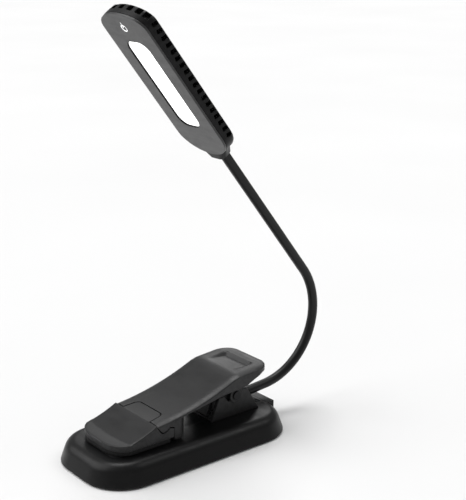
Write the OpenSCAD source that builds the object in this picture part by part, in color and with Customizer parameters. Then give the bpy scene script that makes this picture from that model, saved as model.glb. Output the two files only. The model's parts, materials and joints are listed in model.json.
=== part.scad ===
// Clip-on reading lamp: weighted base with a sprung clip, gooseneck and flat lit head.
// The origin is the centre of the base's underside. The nose of the clip points along -X,
// the gooseneck leaves along +X, +Z is up, and the lamp is symmetric about the plane y = 0.

/* [Base] */
// Length of the base at the floor
base_l = 120; // [116:1:124]
// Width of the base at the floor
base_w = 61; // [60:0.5:63]
// Corner radius of the base at the floor
base_r = 21.8; // [20:0.2:23]
// Height of the deck above the floor
deck_z = 11.6; // [11.5:0.1:11.8]
// Wall thickness of the plastic shells
wall = 1.8; // [1.6:0.1:2]

/* [Clip] */
// Outer width of the lever and its nose
lever_w = 37.6; // [37:0.2:39]
// Thickness of the rubber pad under the nose
jaw_pad_t = 2.6; // [2.4:0.1:2.7]
// Radius of the hinge pin
pin_r = 1.5; // [1.3:0.1:1.6]
// Outer half width of the bracket's cheeks
cheek_y = 12.6; // [12.4:0.1:13]

/* [Gooseneck] */
// Outer radius of the gooseneck
neck_r = 2.6; // [2.4:0.1:2.7]
// Angle above the horizontal at which the gooseneck leaves the bracket
neck_rise = 4.6; // [4:0.2:5.4]
// Radius of the gooseneck's bend
bend_r = 37.7; // [36.5:0.2:39]
// Angle of the bend
bend_a = 123; // [119:0.5:125]
// Length of the straight stretch from the bend to the head
straight_l = 91.7; // [88:0.1:95]

/* [Head] */
// Length of the head's face
head_l = 90; // [89:0.5:92]
// Width of the head's face
head_w = 36.4; // [36:0.2:37.4]
// Thickness of the head
head_t = 8.2; // [8:0.1:8.6]
// Length of the lit window
window_l = 54.4; // [52:0.2:55]
// Width of the lit window
window_w = 17.2; // [16:0.2:18]

/* [Hidden] */

$fn = 48;
eps = 0.01;
fit = 0.03;              // radial clearance of screws, pins and cores in their holes

// Colours
black = [0.09, 0.09, 0.1];
dark_grey = [0.2, 0.2, 0.21];
face_grey = [0.34, 0.34, 0.35];
rubber_black = [0.04, 0.04, 0.04];
steel = [0.7, 0.71, 0.72];
board_green = [0.1, 0.35, 0.2];
white = [0.95, 0.95, 0.93];

// Base levels
pad_t = 0.6;             // foot pad
cover_top = 2;           // top of the bottom cover, which is let into the base
cover_in = 2.4;          // how far the cover is set in from the base's outline
roof_t = 2.2;            // thickness of the deck
roof_z = deck_z - roof_t;
wall_lean = 19.3;        // angle at which the wall leans in
rim_r = 6;               // radius of the rim
port_x = base_l / 2 - 0.8;
port_w = 20.4;
port_z = 7.35;
board_z = 4.9;           // underside of the charging board
board_t = 1;

// Hinge and bracket
pivot = [30.3, 23.2];
boss_r = 4.2;
cheek_t = 1.7;
cheek_in = cheek_y - cheek_t;
boss_y = cheek_y + 1;
bracket_front = 14.4;
bracket_rear = 46.3;
cheek_tip = [38, 25.3];  // upper rear corner of the cheeks
rear_wall_z = 20;        // top of the bracket's rear wall
foot_y = 8.2;            // inner side of the bracket's front feet
ferrule_r = 3.2;
floor_t = 1.7;           // the bracket's own floor
screw_spots = [[17.2, 9.9], [17.2, -9.9], [32, 8], [32, -8]];
cover_spots = [[45.5, 14], [45.5, -14], [-46.5, 14], [-46.5, -14]];
board_spots = [[43.5, 7.5], [43.5, -7.5], [20, 7.5], [20, -7.5]];
lens_at = [50.8, -5.6];
lens_r = 1.5;
wire_hole_x = 32;        // hole for the wires from the base to the gooseneck
wire_hole_r = 2.6;

// Lever profile
nose_x = -48;            // front edge of the nose
split_x = -24.1;         // joint between nose and lever on top
crease_x = 26.3;         // crease before the thumb pad
lever_x = 50;            // rear edge of the thumb pad
sweep_r = 158.5;         // radius of the lever's concave top
sweep_c = [-37.9, 181.1];
rear_z = 38;
rear_low = 34.1;         // underside of the thumb pad's rear edge
ceiling_z = 34.2;        // underside of the thumb pad's skin
tab_x = -15.1;           // rear end of the nose's tab
nose_screw = [-19.6, 11];
frame_screw = [23, 6.8];
jaw_pad_x = -32.6;       // centre of the lower pad
jaw_pad_l = 28.9;
jaw_pad_w = 31.9;
jaw_z = deck_z + 0.3;    // underside of the jaw pad
nose_z = jaw_z + jaw_pad_t;
tongue_x = -15.7;        // rear end of the nose's tongue and of the pad
tongue_z = 18;           // top of the tongue
throat_x = -5.4;         // rear wall of the lever's front box
box_z = deck_z + 1.1;    // underside of that box
ear_y = 8.3;
ear_t = 2.3;
nose_l = 9.5;            // length of the nose's elliptical corners
nose_w = 13.8;           // and their width
rear_r = 9.5;            // corner radius of the thumb pad

// Torsion spring
spring_r = 3.6;
wire_r = 0.55;
spring_w = 12.4;
spring_from = -66;       // angle at which the coil leaves its lower leg
spring_sweep = 3005;     // angle of the coil's turns, up to its upper leg
spring_steps = 117;
spring_leg_x = 11;       // how far the legs reach behind the pivot
spring_tip_z = 34;

// Gooseneck path
exit_at = [44.3, 15.97];
lead_l = 16.8;
core_r = 1.65;
ball_r = 2.3;
joint_gap = 0.6;         // bare ball shown at each joint, room for the links to tilt
joint_back = 0.1;
first_joint = 6;
bend_links = 4;
straight_links = 5;
lean = neck_rise + bend_a - 90;
function dir(a) = [cos(a), sin(a)];
bend_from = exit_at + lead_l * dir(neck_rise);
bend_c = bend_from + bend_r * dir(neck_rise + 90);
bend_to = bend_c + bend_r * dir(neck_rise + bend_a - 90);
neck_end = bend_to + straight_l * dir(90 + lean);
straight_step = straight_l / straight_links;
bend_step = bend_a / bend_links;

// Head levels, along the head's own axes: x up the head, z out of its face
neck_in = 50;            // from the window's centre to the chin's end
neck_low = 5.8;          // depth of the gooseneck's axis behind the face
neck_hold = 10.2;        // length of gooseneck held inside the head
head_from = -46;
head_mid = head_from + head_l / 2;
chin_a = 12;             // lengths of the head's elliptical ends
tip_a = 9;
back_r = 2.4;            // rounding of the head's back edge
face_t = 1.2;
boss_z = -6.3;           // lower ends of the face plate's screw bosses
window_r = 6;            // corner radius of the window
window_in = 0.9;         // depth of the window behind the face
icon_x = 35.4;
icon_r = 2.05;
icon_t = 0.2;
icon_line = 0.42;        // width of the icon's lines
icon_bar = [0.4, 3.3];   // ends of the icon's bar, from the ring's centre
vent_from = -33.5;
vent_pitch = 4.05;
vent_w = 2.1;
end_vent_w = 3.2;
vent_z = -3.9;
vent_h = 3.4;
clamp_x = -43;
clamp_z = -head_t + wall + 0.05;
head_spots = [[-36.5, 11.5], [-36.5, -11.5], [icon_x, 11.5], [icon_x, -11.5]];
head_at = neck_end + neck_in * dir(90 + lean) + neck_low * dir(180 + lean);

// ---- Shapes used more than once ----

// Points of a rounded rectangle, anticlockwise
function rounded(l, w, r, n = 10) = [
    for (c = [[1, 1, 0], [-1, 1, 90], [-1, -1, 180], [1, -1, 270]])
        for (i = [0 : n])
            let (a = c[2] + 90 * i / n)
            [c[0] * (l / 2 - r) + r * cos(a), c[1] * (w / 2 - r) + r * sin(a)]
];

// Points of the head's outline: straight sides and elliptical ends, drawn in by inset
function head_outline(inset, n = 14) = [
    for (end = [1, -1])
        for (i = [0 : n])
            let (a = 180 * i / n - 90 * end, l = end > 0 ? tip_a : chin_a)
            [head_mid + end * (head_l / 2 - l) + (l - inset) * cos(a),
             (head_w / 2 - inset) * sin(a)]
];

function lift(ring, z) = [for (p = ring) [p[0], p[1], z]];

// A closed skin through rings of equal point counts, from the lowest to the highest
module loft(rings) {
    n = len(rings[0]);
    m = len(rings);
    polyhedron(
        points = [for (ring = rings) for (p = ring) p],
        faces = concat(
            [[for (i = [0 : n - 1]) i]],
            [for (k = [0 : m - 2]) for (i = [0 : n - 1])
                let (j = (i + 1) % n)
                [k * n + i, (k + 1) * n + i, (k + 1) * n + j, k * n + j]],
            [[for (i = [n - 1 : -1 : 0]) (m - 1) * n + i]]
        )
    );
}

// A flat plate with round corners
module slab(l, w, r, h) {
    linear_extrude(h) {
        square([l - 2 * r, w], center = true);
        square([l, w - 2 * r], center = true);
        for (sx = [-1, 1], sy = [-1, 1])
            translate([sx * (l / 2 - r), sy * (w / 2 - r)])
                circle(r);
    }
}

// A side profile in x and z, made w wide about y = 0
module across(points, w, y = 0) {
    translate([0, y + w / 2, 0])
        rotate([90, 0, 0])
            linear_extrude(w)
                polygon(points);
}

// A round bar across the lamp at the pivot
module pivot_bar(r, y0, y1) {
    translate([pivot[0], y1, pivot[1]])
        rotate([90, 0, 0])
            cylinder(r = r, h = y1 - y0);
}

// Pan-head screw, its head's underside at z = 0 and its shaft pointing up
module screw(r, l, head_r, head_h) {
    cylinder(r = r, h = l);
    translate([0, 0, -head_h])
        difference() {
            cylinder(r = head_r, h = head_h);
            translate([0, 0, -eps])
                cylinder(r = head_r * 0.5, h = head_h / 2, $fn = 6);
        }
}

// Moves children to the head, where x runs up the head and z out of its face
module at_head() {
    translate([head_at[0], 0, head_at[1]])
        rotate([0, -90 - lean, 0])
            children();
}

// ---- Base ----

module foot_pad() {
    color(rubber_black)
        slab(base_l - 10, base_w - 10, base_r - 5, pad_t);
}

module base_cover() {
    color(black)
        difference() {
            union() {
                translate([0, 0, pad_t])
                    slab(
                        base_l - 2 * cover_in,
                        base_w - 2 * cover_in,
                        base_r - cover_in,
                        cover_top - pad_t
                    );
                for (s = board_spots)
                    translate([s[0], s[1], cover_top - eps])
                        cylinder(r = 2, h = board_z - cover_top + eps);
            }
            for (s = cover_spots)
                translate([s[0], s[1], 0]) {
                    cylinder(r = 1.6, h = 5);
                    cylinder(r = 3, h = cover_top - 0.5);
                }
        }
}

module cover_screws() {
    color(steel)
        for (s = cover_spots)
            translate([s[0], s[1], cover_top - 0.5])
                screw(1.2, 6.5, 2.6, 0.8);
}

// Outline of the base at a level, drawn in as the wall leans in
function base_ring(z, inset) =
    lift(rounded(base_l - 2 * inset, base_w - 2 * inset, base_r - inset), z);
function slope_at(z) = tan(wall_lean) * (z - pad_t);

// The wall, and the round rim that it runs into
module base_skin() {
    rim_z = deck_z - rim_r;
    rim_in = slope_at(rim_z + rim_r * sin(wall_lean)) + rim_r * cos(wall_lean);
    loft(concat(
        [base_ring(pad_t, 0)],
        [for (i = [0 : 6])
            let (a = wall_lean + (90 - wall_lean) * i / 6)
            base_ring(rim_z + rim_r * sin(a), rim_in - rim_r * cos(a))]
    ));
}

module base_cavity() {
    loft([
        base_ring(pad_t - 1, wall),
        base_ring(pad_t, wall),
        base_ring(roof_z - 2.4, slope_at(roof_z - 2.4) + wall),
        base_ring(roof_z, slope_at(roof_z) + wall + 3)
    ]);
}

module base_shell() {
    color(black)
        difference() {
            union() {
                difference() {
                    union() {
                        base_skin();
                        // flat block that carries the charging port
                        translate([port_x - 12, -port_w / 2, cover_top])
                            cube([12, port_w, deck_z - 0.3 - cover_top]);
                    }
                    base_cavity();
                    translate([port_x - 18, -port_w / 2 + wall, cover_top - 1])
                        cube([18 - wall, port_w - 2 * wall, roof_z - cover_top + 1]);
                }
                for (s = cover_spots)
                    translate([s[0], s[1], cover_top])
                        cylinder(r = 3, h = roof_z - cover_top + 0.5);
            }
            for (s = cover_spots)
                translate([s[0], s[1], cover_top - eps])
                    cylinder(r = 1.2 + fit, h = 7);
            for (s = screw_spots)
                translate([s[0], s[1], roof_z - 1])
                    cylinder(r = 1.5, h = roof_t + 2);
            // recess of the lower jaw pad, wire hole, status light and port
            translate([jaw_pad_x, 0, deck_z - 1])
                slab(jaw_pad_l + 0.1, jaw_pad_w + 0.1, 5, 2);
            translate([wire_hole_x, 0, roof_z - 1])
                cylinder(r = wire_hole_r, h = roof_t + 2);
            translate([lens_at[0], lens_at[1], roof_z - 3])
                cylinder(r = lens_r, h = roof_t + 4);
            translate([lens_at[0], lens_at[1], deck_z - 0.8])
                cylinder(r = 1.9, h = 2);
            translate([port_x - 3, -4, port_z - 1.5])
                cube([6, 8, 3]);
        }
}

module ballast_plate() {
    color(steel)
        difference() {
            translate([-1, 0, cover_top + 0.1])
                slab(84, 42, 8, 2);
            for (s = board_spots)
                translate([s[0], s[1], 0])
                    cylinder(r = 2.6, h = 10);
            for (s = cover_spots)
                translate([s[0], s[1], 0])
                    cylinder(r = 3.6, h = 10);
        }
}

module battery_cell() {
    color([0.3, 0.45, 0.7])
        translate([-15.5, 0, cover_top + 2.3])
            slab(46, 36, 2.2, 4.8);
}

// Two wires from the cell's end to the board
module battery_leads() {
    for (side = [-1, 1])
        color(side > 0 ? [0.7, 0.1, 0.1] : rubber_black)
            translate([0, side * 2, 0]) {
                translate([7.55, 0, 6.95])
                    rotate([0, 90, 0])
                        cylinder(r = 0.6, h = 8.8, $fn = 16);
            }
}

module charge_board() {
    color(board_green)
        difference() {
            translate([15, -9.5, board_z])
                cube([39, 17.6, board_t]);
            for (s = board_spots)
                translate([s[0], s[1], 0])
                    cylinder(r = 1, h = 10);
        }
    color(black) {
        for (x = [24, 36])
            translate([x, -3, board_z + board_t])
                cube([5, 5, 1.2]);
        translate([44, 0.5, board_z + board_t])
            cube([4, 4, 2.2]);
    }
    color(steel)
        for (s = [-1, 1])
            translate([16.4, s * 2 - 0.8, board_z + board_t])
                cube([2, 1.6, 0.4]);
}

module usb_port() {
    color(steel)
        translate([port_x - 7, 0, port_z])
            rotate([0, 90, 0])
                difference() {
                    slab(2.8, 7.6, 0.6, 6.4);
                    translate([0, 0, 1.6])
                        slab(2, 6.8, 0.4, 6);
                }
    color(black)
        translate([port_x - 5.4, -2, port_z - 0.3])
            cube([4.2, 4, 0.6]);
}

module status_lens() {
    color(white)
        translate([lens_at[0], lens_at[1], board_z + board_t + 0.1])
            cylinder(r = lens_r - fit, h = deck_z - 0.9 - board_z - board_t);
}

module lower_jaw_pad() {
    color(rubber_black)
        translate([jaw_pad_x, 0, deck_z - 1])
            slab(jaw_pad_l, jaw_pad_w, 4.95, 1.15);
}

// ---- Hinge ----

module cheek(y) {
    across([
        [bracket_front, deck_z],
        [bracket_rear, deck_z],
        cheek_tip,
        [28.2, 25.3],
        [26, 20.2],
        [22.5, 24.2],
        [19.6, 24.1]
    ], cheek_t, y);
}

// A bar along the gooseneck's root, from one distance before the exit to another
module root_bar(r, from, to) {
    translate([exit_at[0], 0, exit_at[1]])
        rotate([0, 90 - neck_rise, 0])
            translate([0, 0, from])
                cylinder(r = r, h = to - from);
}

module hinge_bracket() {
    color(dark_grey)
        difference() {
            union() {
                for (side = [-1, 1]) {
                    cheek(side * (cheek_y - cheek_t / 2));
                    // front feet, which lean back with the cheeks
                    across([
                        [bracket_front, deck_z],
                        [20, deck_z],
                        [20, 17],
                        [16.6, 17]
                    ], cheek_in - foot_y + eps, side * (cheek_in + foot_y) / 2);
                }
                pivot_bar(boss_r, cheek_in, boss_y);
                pivot_bar(boss_r, -boss_y, -cheek_in);
                // floor and sloping rear wall
                translate([bracket_front, -cheek_in - eps, deck_z])
                    cube([bracket_rear - bracket_front, 2 * (cheek_in + eps), floor_t]);
                across([
                    [bracket_rear, deck_z],
                    [41.2, rear_wall_z],
                    [39.2, rear_wall_z],
                    [44, deck_z]
                ], 2 * (cheek_in + eps));
                intersection() {
                    root_bar(4.6, -9, -0.5);
                    translate([30, -8, deck_z])
                        cube([20, 16, 12]);
                }
            }
            pivot_bar(pin_r + fit, -20, 20);
            root_bar(ferrule_r + fit, -12, -1.5);
            root_bar(neck_r + fit, -12, 10);
            translate([wire_hole_x, 0, deck_z - 1])
                cylinder(r = wire_hole_r, h = 4);
            for (s = screw_spots)
                translate([s[0], s[1], deck_z - 1])
                    cylinder(r = 1.2 + fit, h = s[0] < 20 ? 5.4 : 3);
        }
}

module bracket_screws() {
    color(steel)
        for (s = screw_spots)
            translate([s[0], s[1], roof_z])
                screw(1.2, s[0] < 20 ? 6 : 3.8, 2.2, 1.2);
}

module hinge_pin() {
    color(steel)
        difference() {
            union() {
                pivot_bar(pin_r, -boss_y, boss_y + 1);
                pivot_bar(2.4, -boss_y - 0.8, -boss_y);
            }
            // groove of the retaining ring
            difference() {
                pivot_bar(pin_r + 1, boss_y + 0.05, boss_y + 0.6);
                pivot_bar(pin_r - 0.3, boss_y, boss_y + 1);
            }
        }
}

module pin_clip() {
    color(steel)
        difference() {
            pivot_bar(2.8, boss_y + 0.07, boss_y + 0.57);
            pivot_bar(pin_r - 0.27, boss_y, boss_y + 1);
            translate([pivot[0] - 4, boss_y, pivot[1] - 0.9])
                cube([4, 1, 1.8]);
        }
}

// Path of the spring: coils round the pin, with one leg on the bracket's floor and one
// under the lever
spring_path = concat(
    [[pivot[0] + spring_leg_x, -spring_w / 2, deck_z + floor_t + wire_r + 0.05]],
    [for (i = [0 : spring_steps])
        let (a = spring_from + spring_sweep * i / spring_steps)
        [pivot[0] - spring_r * cos(a),
         spring_w * (i / spring_steps - 0.5),
         pivot[1] + spring_r * sin(a)]],
    [[pivot[0] + spring_leg_x, spring_w / 2, spring_tip_z]]
);

function unit(v) = v / norm(v);

// A round wire along a path, its rings square to the path
module wire(path, r, n = 8) {
    m = len(path);
    tangents = [for (i = [0 : m - 1])
        unit(path[min(i + 1, m - 1)] - path[max(i - 1, 0)])];
    rings = [for (i = [0 : m - 1])
        let (u = unit(cross(tangents[i], [0, 1, 0.02])), v = cross(tangents[i], u))
        [for (k = [0 : n - 1])
            path[i] + r * (cos(360 * k / n) * u + sin(360 * k / n) * v)]];
    loft(rings);
}

module torsion_spring() {
    color(steel)
        wire(spring_path, wire_r);
}

module neck_ferrule() {
    color(steel)
        difference() {
            root_bar(ferrule_r, -9, -1.55);
            root_bar(neck_r + fit, -20, 20);
        }
}

// ---- Lever ----

function sweep_z(x) = sweep_c[1] - sqrt(pow(sweep_r, 2) - pow(x - sweep_c[0], 2));
function sweep_points(from, to, n, drop = 0) = [
    for (i = [0 : n])
        let (x = from + (to - from) * i / n)
        [x, sweep_z(x) - drop]
];

// Outline of the lever and nose seen from above, and half of the nose's round front
function nose_corner(inset) = [
    for (i = [0 : 12])
        let (a = 90 * i / 12)
        [nose_x + nose_l - (nose_l - inset) * cos(a), lever_w / 2 - nose_w + (nose_w - inset) * sin(a)]
];
module plan(z0, z1, inset = 0) {
    corner = nose_corner(inset);
    translate([0, 0, z0])
        linear_extrude(z1 - z0) {
            polygon(concat(
                corner,
                [for (i = [len(corner) - 1 : -1 : 0]) [corner[i][0], -corner[i][1]]]
            ));
            translate([nose_x + nose_l - 1, -lever_w / 2 + inset])
                square([lever_x - nose_x - nose_l - rear_r + 1, lever_w - 2 * inset]);
            for (side = [-1, 1])
                translate([lever_x - rear_r, side * (lever_w / 2 - rear_r)])
                    circle(rear_r - inset);
            translate([lever_x - 20 - inset, -lever_w / 2 + rear_r])
                square([20, lever_w - 2 * rear_r]);
        }
}

// Tab of the nose, let into the lever's top
module tab(inset, z0, z1) {
    translate([0, 0, z0])
        linear_extrude(z1 - z0)
            polygon([
                [split_x - 2, -12 + inset],
                [tab_x - 3.5, -10.9 + inset],
                [tab_x - inset, -8],
                [tab_x - inset, 8],
                [tab_x - 3.5, 10.9 - inset],
                [split_x - 2, 12 - inset]
            ]);
}

module lever_shell() {
    color(dark_grey)
        difference() {
            intersection() {
                across(concat(
                    [[-20.6, tongue_z + 0.1]],
                    sweep_points(split_x + 0.1, crease_x, 12),
                    [
                        [lever_x, rear_z],
                        [lever_x, rear_low],
                        [44, rear_low],
                        [37.8, 31.6],
                        [33.6, 29.6],
                        [26.6, 28.9],
                        [17.3, 28.1],
                        [throat_x + 1.5, sweep_z(throat_x) - wall],
                        [throat_x, box_z + 8],
                        [throat_x, box_z],
                        [tongue_x + 0.1, box_z],
                        [tongue_x + 0.1, tongue_z + 0.1]
                    ]
                ), lever_w);
                plan(0, 60);
            }
            // hollow between the skirts
            across(concat(
                sweep_points(throat_x + 2, 24, 8, wall),
                [
                    [29, ceiling_z],
                    [lever_x - wall, ceiling_z + 0.6],
                    [lever_x - wall, 10],
                    [throat_x + 2, 10]
                ]
            ), lever_w - 2 * wall);
            // hollow of the front box, open below
            across([
                [-17.2, tongue_z + 2.6],
                [tongue_x + wall, tongue_z + 2.6],
                [tongue_x + wall, box_z - 1],
                [throat_x - wall, box_z - 1],
                [throat_x - wall, 23.4],
                [-17.2, 21.7]
            ], lever_w - 2 * wall);
            // room for the nose's tab
            difference() {
                tab(-0.1, 16, 40);
                across(concat(
                    sweep_points(-38, 2, 6, 1.3),
                    [[2, 0], [-38, 0]]
                ), 50);
            }
            // finger scoop in the thumb pad
            intersection() {
                across([
                    [29.4, 36.6],
                    [41.4, 36],
                    [43.4, 39],
                    [29.4, 39]
                ], 24);
                translate([36, 0, 30])
                    slab(16, 24, 5, 20);
            }
            for (s = [-1, 1]) {
                translate([nose_screw[0], s * nose_screw[1], tongue_z - 1])
                    cylinder(r = 1.1 + fit, h = 3.4);
                translate([frame_screw[0], s * frame_screw[1], 26])
                    cylinder(r = 1 + fit, h = sweep_z(frame_screw[0]) - 26.7);
            }
        }
}

module lever_frame() {
    color(dark_grey)
        difference() {
            union() {
                for (side = [-1, 1]) {
                    across(concat(
                        [[16.9, 17.4], [26, 17.6]],
                        [[37.5, 27], [37.5, ceiling_z - 0.1], [29, ceiling_z - 0.1]],
                        sweep_points(24, 20.5, 3, wall + 0.15)
                    ), ear_t, side * (ear_y + ear_t / 2));
                    pivot_bar(5.2, side > 0 ? ear_y : -ear_y - ear_t, side > 0 ? ear_y + ear_t : -ear_y);
                }
                // front web
                across([
                    [14.5, deck_z + floor_t + 0.5],
                    [16.3, deck_z + floor_t + 0.5],
                    [22.6, 29],
                    [20.8, sweep_z(20.8) - wall - 0.1]
                ], 2 * foot_y - 0.4);
                across(concat(
                    [[20.5, 29], [22.6, 29], [25, 32.8], [37.5, 32.8]],
                    [[37.5, ceiling_z - 0.1], [29, ceiling_z - 0.1]],
                    sweep_points(24, 20.5, 3, wall + 0.15)
                ), 2 * ear_y + eps);
            }
            pivot_bar(pin_r + fit + 0.02, -20, 20);
            for (s = [-1, 1])
                translate([frame_screw[0], s * frame_screw[1], 20]) {
                    cylinder(r = 1.3, h = 30);
                    cylinder(r = 2.3, h = 9);
                }
            // slot for the spring's upper leg
            translate([34, spring_w / 2 - 0.9, 30])
                cube([4, 1.8, 6]);
        }
}

module frame_screws() {
    color(steel)
        for (s = [-1, 1])
            translate([frame_screw[0], s * frame_screw[1], 29])
                screw(1, sweep_z(frame_screw[0]) - 30, 2, 1.2);
}

module jaw_nose() {
    color(dark_grey)
        difference() {
            union() {
                intersection() {
                    across([
                        [nose_x, nose_z],
                        [tongue_x, nose_z],
                        [tongue_x, tongue_z],
                        [-20.7, tongue_z],
                        [split_x, sweep_z(split_x)],
                        [-36, 18.6],
                        [-40.2, 17.7],
                        [nose_x, 17.4]
                    ], lever_w);
                    plan(0, 60);
                }
                intersection() {
                    tab(0, 16, 40);
                    across(concat(
                        sweep_points(split_x - 0.5, tab_x, 4),
                        sweep_points(tab_x, split_x - 0.5, 4, 1.2)
                    ), 50);
                }
            }
            // hollow above the pad
            across([
                [nose_x + 3, nose_z - 1],
                [-26.4, nose_z - 1],
                [-26.4, 20.2],
                [-38, 16.1],
                [nose_x + 3, 15.9]
            ], lever_w - 2 * wall - 6);
            for (s = [-1, 1])
                translate([nose_screw[0], s * nose_screw[1], nose_z - 1]) {
                    cylinder(r = 1.3, h = 8);
                    cylinder(r = 2.4, h = 2.4);
                }
        }
}

module nose_screws() {
    color(steel)
        for (s = [-1, 1])
            translate([nose_screw[0], s * nose_screw[1], nose_z + 1.4])
                screw(1.1, 4, 2.2, 1.2);
}

module upper_jaw_pad() {
    color(rubber_black)
        intersection() {
            plan(jaw_z, nose_z, 0.25);
            translate([-60, -30, 0])
                cube([60 + tongue_x - 0.1, 60, 40]);
        }
}

// ---- Gooseneck ----

// Angle of the gooseneck and its point at each joint, from the bracket to the head
joint_dirs = concat(
    [neck_rise],
    [for (i = [0 : bend_links]) neck_rise + bend_step * i],
    [for (i = [1 : straight_links - 1]) 90 + lean]
);
joint_points = concat(
    [exit_at + first_joint * dir(neck_rise)],
    [for (i = [0 : bend_links]) bend_c + bend_r * dir(neck_rise - 90 + bend_step * i)],
    [for (i = [1 : straight_links - 1]) bend_to + straight_step * i * dir(90 + lean)]
);

// Children with their z along the gooseneck at joint k
module at_joint(k) {
    translate([joint_points[k][0], 0, joint_points[k][1]])
        rotate([0, 90 - joint_dirs[k], 0])
            children();
}

// A round bar of the bend, between two angles of the bend
module bend_bar(r, from, to) {
    translate([bend_c[0], 0, bend_c[1]])
        rotate([90, 0, 0])
            rotate([0, 0, neck_rise - 90 + from])
                rotate_extrude(angle = to - from, $fn = 96)
                    translate([bend_r, 0])
                        circle(r, $fn = 32);
}

// The bar of link k, which starts and stops at given distances from its two joints
module link_bar(k, r, from, to) {
    if (k > 1 && k < 2 + bend_links)
        bend_bar(
            r,
            bend_step * (k - 2) + from / bend_r * 180 / PI,
            bend_step * (k - 1) - to / bend_r * 180 / PI
        );
    else
        at_joint(k - 1)
            translate([0, 0, from])
                cylinder(r = r, h = (k == 1 ? lead_l - first_joint : straight_step) - from - to);
}

module ball(k) {
    at_joint(k)
        difference() {
            sphere(r = ball_r);
            translate([0, 0, -5])
                cylinder(r = core_r + 0.15, h = 10);
        }
}

module socket(k) {
    at_joint(k)
        sphere(r = ball_r + fit);
}

module neck_root() {
    color(rubber_black) {
        difference() {
            root_bar(neck_r, -9, first_joint - joint_back);
            root_bar(core_r + fit, -10, first_joint + 4);
        }
        ball(0);
    }
}

module core_root() {
    color(steel)
        root_bar(core_r, -9, first_joint);
}

module neck_link(k) {
    color(rubber_black) {
        difference() {
            link_bar(k, neck_r, joint_gap, joint_back);
            link_bar(k, core_r + fit, 0, -eps);
            socket(k - 1);
        }
        ball(k);
    }
}

module core_link(k) {
    color(steel)
        link_bar(k, core_r, ball_r + 0.5, 0);
}

module neck_top() {
    color(rubber_black)
        difference() {
            at_joint(9)
                translate([0, 0, joint_gap])
                    cylinder(r = neck_r, h = straight_step + neck_hold - joint_gap);
            socket(9);
            at_joint(9)
                cylinder(r = core_r + fit, h = straight_step + neck_hold + 1);
        }
}

module core_top() {
    color(steel)
        at_joint(9)
            translate([0, 0, ball_r + 0.5])
                cylinder(r = core_r, h = straight_step + neck_hold - ball_r - 0.5);
}

// ---- Head ----

module head_plate(z0, z1, inset) {
    loft([lift(head_outline(inset), z0), lift(head_outline(inset), z1)]);
}

// Vent slots along both sides and round the far end
module vents() {
    for (side = [-1, 1])
        for (i = [0 : 17])
            translate([vent_from + vent_pitch * i, side * head_w / 2, vent_z])
                rotate([0, 14, 0])
                    translate([-vent_w / 2, -3, -vent_h])
                        cube([vent_w, 6, vent_h]);
    for (a = [-60 : 20 : 60])
        translate([head_mid + head_l / 2 - tip_a + tip_a * cos(a), head_w / 2 * sin(a), vent_z])
            rotate([0, 0, atan2(tip_a * sin(a), head_w / 2 * cos(a))])
                translate([-3, -end_vent_w / 2, -vent_h])
                    cube([6, end_vent_w, vent_h]);
}

module head_shell() {
    color(black)
        at_head()
            difference() {
                union() {
                    loft([
                        for (a = [90, 68, 48, 30, 14, 0])
                            lift(head_outline(back_r * (1 - cos(a))), -head_t + back_r * (1 - sin(a))),
                        lift(head_outline(0), -face_t + 0.5)
                    ]);
                    // chin, which narrows to the gooseneck's collar
                    hull() {
                        translate([head_from + 8, 0, -4.6])
                            rotate([0, -90, 0])
                                slab(6.6, 27, 3, 1);
                        translate([-neck_in + 1, 0, -4.4])
                            rotate([0, -90, 0])
                                slab(7.6, 11.6, 3, 1);
                    }
                    // hump over the gooseneck's end
                    hull() {
                        translate([-neck_in + 1.5, 0, -neck_low])
                            rotate([0, 90, 0])
                                cylinder(r = neck_r + 0.8, h = 9);
                        translate([-neck_in + 14, 0, -neck_low + 0.6])
                            rotate([0, 90, 0])
                                cylinder(r = neck_r - 0.4, h = 1);
                    }
                }
                loft([
                    lift(head_outline(wall + 0.4), -head_t + wall - 0.4),
                    lift(head_outline(wall), -head_t + wall),
                    lift(head_outline(wall), 1)
                ]);
                head_plate(-face_t, 1, -0.1);
                vents();
                translate([-neck_in - 5, 0, -neck_low])
                    rotate([0, 90, 0])
                        cylinder(r = neck_r + fit, h = neck_hold + 5.05);
                for (s = head_spots)
                    translate([s[0], s[1], -head_t - 1]) {
                        cylinder(r = 1 + fit, h = 5);
                        cylinder(r = 1.9, h = 1.9);
                    }
            }
}

module face_plate() {
    color(face_grey)
        at_head()
            difference() {
                union() {
                    head_plate(-face_t + 0.02, 0, 0.1);
                    for (s = head_spots)
                        translate([s[0], s[1], boss_z])
                            cylinder(r = 2.1, h = -face_t + 0.1 - boss_z);
                }
                translate([0, 0, -5])
                    slab(window_l, window_w, window_r, 10);
                translate([icon_x, 0, -icon_t]) {
                    cylinder(r = icon_r + 0.02, h = 2);
                    translate([0, -icon_line / 2 - 0.02, 0])
                        cube([icon_bar[1] + 0.02, icon_line + 0.04, 2]);
                }
                for (s = head_spots)
                    translate([s[0], s[1], boss_z - 1])
                        cylinder(r = 1 + fit, h = 5);
            }
}

// The window sits back from the face, on a flange behind it
module diffuser() {
    color(white)
        at_head() {
            translate([0, 0, -face_t - 0.9])
                slab(window_l + 4, window_w + 4, window_r + 1, 0.9);
            translate([0, 0, -face_t - 0.1])
                slab(window_l - 0.1, window_w - 0.1, window_r - 0.05, face_t + 0.1 - window_in);
        }
}

module light_frame() {
    color(white)
        at_head()
            difference() {
                translate([0, 0, -5.1])
                    slab(window_l + 6, window_w + 6, window_r + 1, 3);
                translate([0, 0, -6])
                    slab(window_l + 2, window_w + 2, window_r, 6);
            }
}

module led_board() {
    color(white)
        at_head()
            translate([0, 0, -4.6])
                slab(window_l + 1.6, window_w + 1.6, window_r - 0.2, 1);
}

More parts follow.
